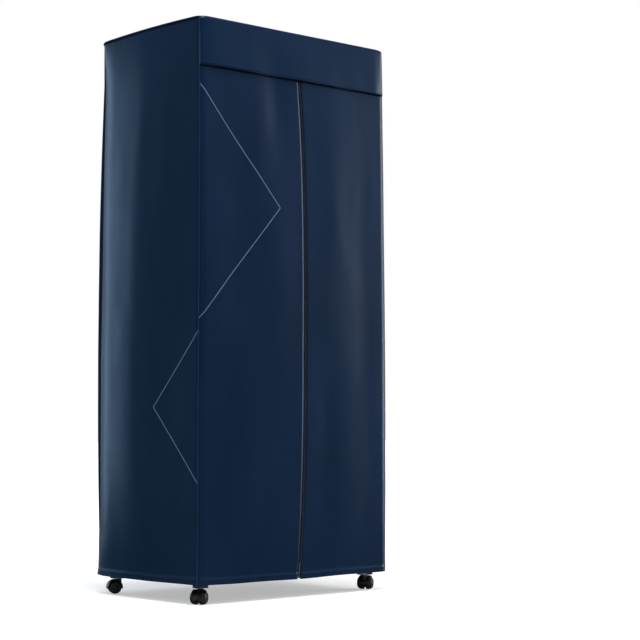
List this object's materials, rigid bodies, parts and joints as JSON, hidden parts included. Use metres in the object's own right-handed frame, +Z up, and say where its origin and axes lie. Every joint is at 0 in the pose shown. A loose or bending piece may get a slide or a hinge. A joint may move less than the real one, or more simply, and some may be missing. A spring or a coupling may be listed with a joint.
{
  "type": "portable clothes dryer",
  "caption": "Tall tube-frame clothes dryer on castors, with hanging rails, a fan heater on the lowest rails and a zipped fabric cover with two door leaves.",
  "frame": {"origin": "centre of the bounding box's foot, on the floor", "axes": "+Z up; the zipped front faces -Y; +X to the right as seen from the front"},
  "size_m": [0.73, 0.501, 1.7],
  "materials": {
    "bracket_plastic": "satin moulded plastic, ribbed below",
    "chromed_tube": "chromed, bright",
    "castor_plastic": "black moulded plastic",
    "castor_wheel": "black moulded plastic tread",
    "cover_fabric": "dark blue woven polyester",
    "zip_metal": "dark painted",
    "black_moulding": "black moulded plastic",
    "white_shell": "white moulded plastic",
    "gloss_panel": "black, glossy",
    "key_plastic": "dark grey",
    "motor_steel": "plated steel can",
    "element_metal": "bare finned aluminium",
    "lamp_glass": "clear tube"
  },
  "bodies": {
    "frame": {"bracket_lowest_left": "bracket_plastic", "bracket_lowest_right": "bracket_plastic", "bracket_lower_left": "bracket_plastic", "bracket_lower_right": "bracket_plastic", "bracket_upper_left": "bracket_plastic", "bracket_upper_right": "bracket_plastic", "bracket_top_left": "bracket_plastic", "bracket_top_right": "bracket_plastic", "post_low_front_left": "chromed_tube", "post_low_front_right": "chromed_tube", "post_low_rear_left": "chromed_tube", "post_low_rear_right": "chromed_tube", "post_middle_front_left": "chromed_tube", "post_middle_front_right": "chromed_tube", "post_middle_rear_left": "chromed_tube", "post_middle_rear_right": "chromed_tube", "post_high_front_left": "chromed_tube", "post_high_front_right": "chromed_tube", "post_high_rear_left": "chromed_tube", "post_high_rear_right": "chromed_tube", "rail_lowest_front": "chromed_tube", "rail_lowest_rear": "chromed_tube", "rail_lower_1": "chromed_tube", "rail_lower_2": "chromed_tube", "rail_lower_3": "chromed_tube", "rail_lower_4": "chromed_tube", "rail_upper_1": "chromed_tube", "rail_upper_2": "chromed_tube", "rail_upper_3": "chromed_tube", "rail_upper_4": "chromed_tube", "rail_top_front": "chromed_tube", "rail_top_rear": "chromed_tube", "rail_top_crossbar": "chromed_tube"},
    "cover": {"cover_back": "cover_fabric", "cover_side_left": "cover_fabric", "cover_side_right": "cover_fabric", "cover_top": "cover_fabric", "cover_header": "cover_fabric"},
    "left_door": {"door_left": "cover_fabric"},
    "right_door": {"door_right": "cover_fabric"},
    "slider": {"zip_slider": "zip_metal"},
    "heater": {"heater_tray": "black_moulding", "heater_housing": "white_shell", "heater_panel": "gloss_panel", "fan_motor": "motor_steel", "outlet_tower": "black_moulding", "heating_element": "element_metal", "lamp_tube": "lamp_glass", "outlet_cap": "black_moulding"},
    "fan": {"fan_impeller": "black_moulding"},
    "power_key": {"key_power": "key_plastic"},
    "timer_key": {"key_timer": "key_plastic"},
    "swivel_front_left": {"castor_hood_front_left": "castor_plastic"},
    "wheels_front_left": {"castor_wheels_front_left": "castor_wheel"},
    "swivel_front_right": {"castor_hood_front_right": "castor_plastic"},
    "wheels_front_right": {"castor_wheels_front_right": "castor_wheel"},
    "swivel_rear_left": {"castor_hood_rear_left": "castor_plastic"},
    "wheels_rear_left": {"castor_wheels_rear_left": "castor_wheel"},
    "swivel_rear_right": {"castor_hood_rear_right": "castor_plastic"},
    "wheels_rear_right": {"castor_wheels_rear_right": "castor_wheel"}
  },
  "joints": [
    {"name": "cover_lift", "type": "slide", "parent": "frame", "child": "cover", "axis": [0, 0, 1], "range_m": [0, 1.66]},
    {"name": "door_left_swing", "type": "hinge", "parent": "cover", "child": "left_door", "pos_m": [-0.349, -0.2465, 0.8], "axis": [0, 0, -1], "range_deg": [0, 150]},
    {"name": "door_right_swing", "type": "hinge", "parent": "cover", "child": "right_door", "pos_m": [0.349, -0.2465, 0.8], "axis": [0, 0, 1], "range_deg": [0, 150]},
    {"name": "zip_slide", "type": "slide", "parent": "left_door", "child": "slider", "axis": [0, 0, -1], "range_m": [0, 1.455]},
    {"name": "heater_lift", "type": "slide", "parent": "frame", "child": "heater", "axis": [0, 0, 1], "range_m": [0, 0.12]},
    {"name": "fan_spin", "type": "hinge", "parent": "heater", "child": "fan", "pos_m": [0, 0.048, 0.15], "axis": [0, 0, 1], "continuous": true},
    {"name": "power_key_press", "type": "slide", "parent": "heater", "child": "power_key", "axis": [0, 1, 0], "range_m": [0, 0.001], "stiffness_N_per_m": 400},
    {"name": "timer_key_press", "type": "slide", "parent": "heater", "child": "timer_key", "axis": [0, 1, 0], "range_m": [0, 0.001], "stiffness_N_per_m": 400},
    {"name": "swivel_front_left", "type": "hinge", "parent": "frame", "child": "swivel_front_left", "pos_m": [-0.323, -0.2025, 0.05], "axis": [0, 0, 1], "continuous": true},
    {"name": "roll_front_left", "type": "hinge", "parent": "swivel_front_left", "child": "wheels_front_left", "pos_m": [-0.33306, -0.20904, 0.01962], "axis": [-0.5446, 0.8387, 0], "continuous": true},
    {"name": "swivel_front_right", "type": "hinge", "parent": "frame", "child": "swivel_front_right", "pos_m": [0.323, -0.2025, 0.05], "axis": [0, 0, 1], "continuous": true},
    {"name": "roll_front_right", "type": "hinge", "parent": "swivel_front_right", "child": "wheels_front_right", "pos_m": [0.33306, -0.19596, 0.01962], "axis": [0.5446, -0.8387, 0], "continuous": true},
    {"name": "swivel_rear_left", "type": "hinge", "parent": "frame", "child": "swivel_rear_left", "pos_m": [-0.323, 0.2065, 0.05], "axis": [0, 0, 1], "continuous": true},
    {"name": "roll_rear_left", "type": "hinge", "parent": "swivel_rear_left", "child": "wheels_rear_left", "pos_m": [-0.33388, 0.21157, 0.01962], "axis": [0.4226, 0.9063, 0], "continuous": true},
    {"name": "swivel_rear_right", "type": "hinge", "parent": "frame", "child": "swivel_rear_right", "pos_m": [0.323, 0.2065, 0.05], "axis": [0, 0, 1], "continuous": true},
    {"name": "roll_rear_right", "type": "hinge", "parent": "swivel_rear_right", "child": "wheels_rear_right", "pos_m": [0.33428, 0.2106, 0.01962], "axis": [0.342, -0.9397, 0], "continuous": true}
  ]
}
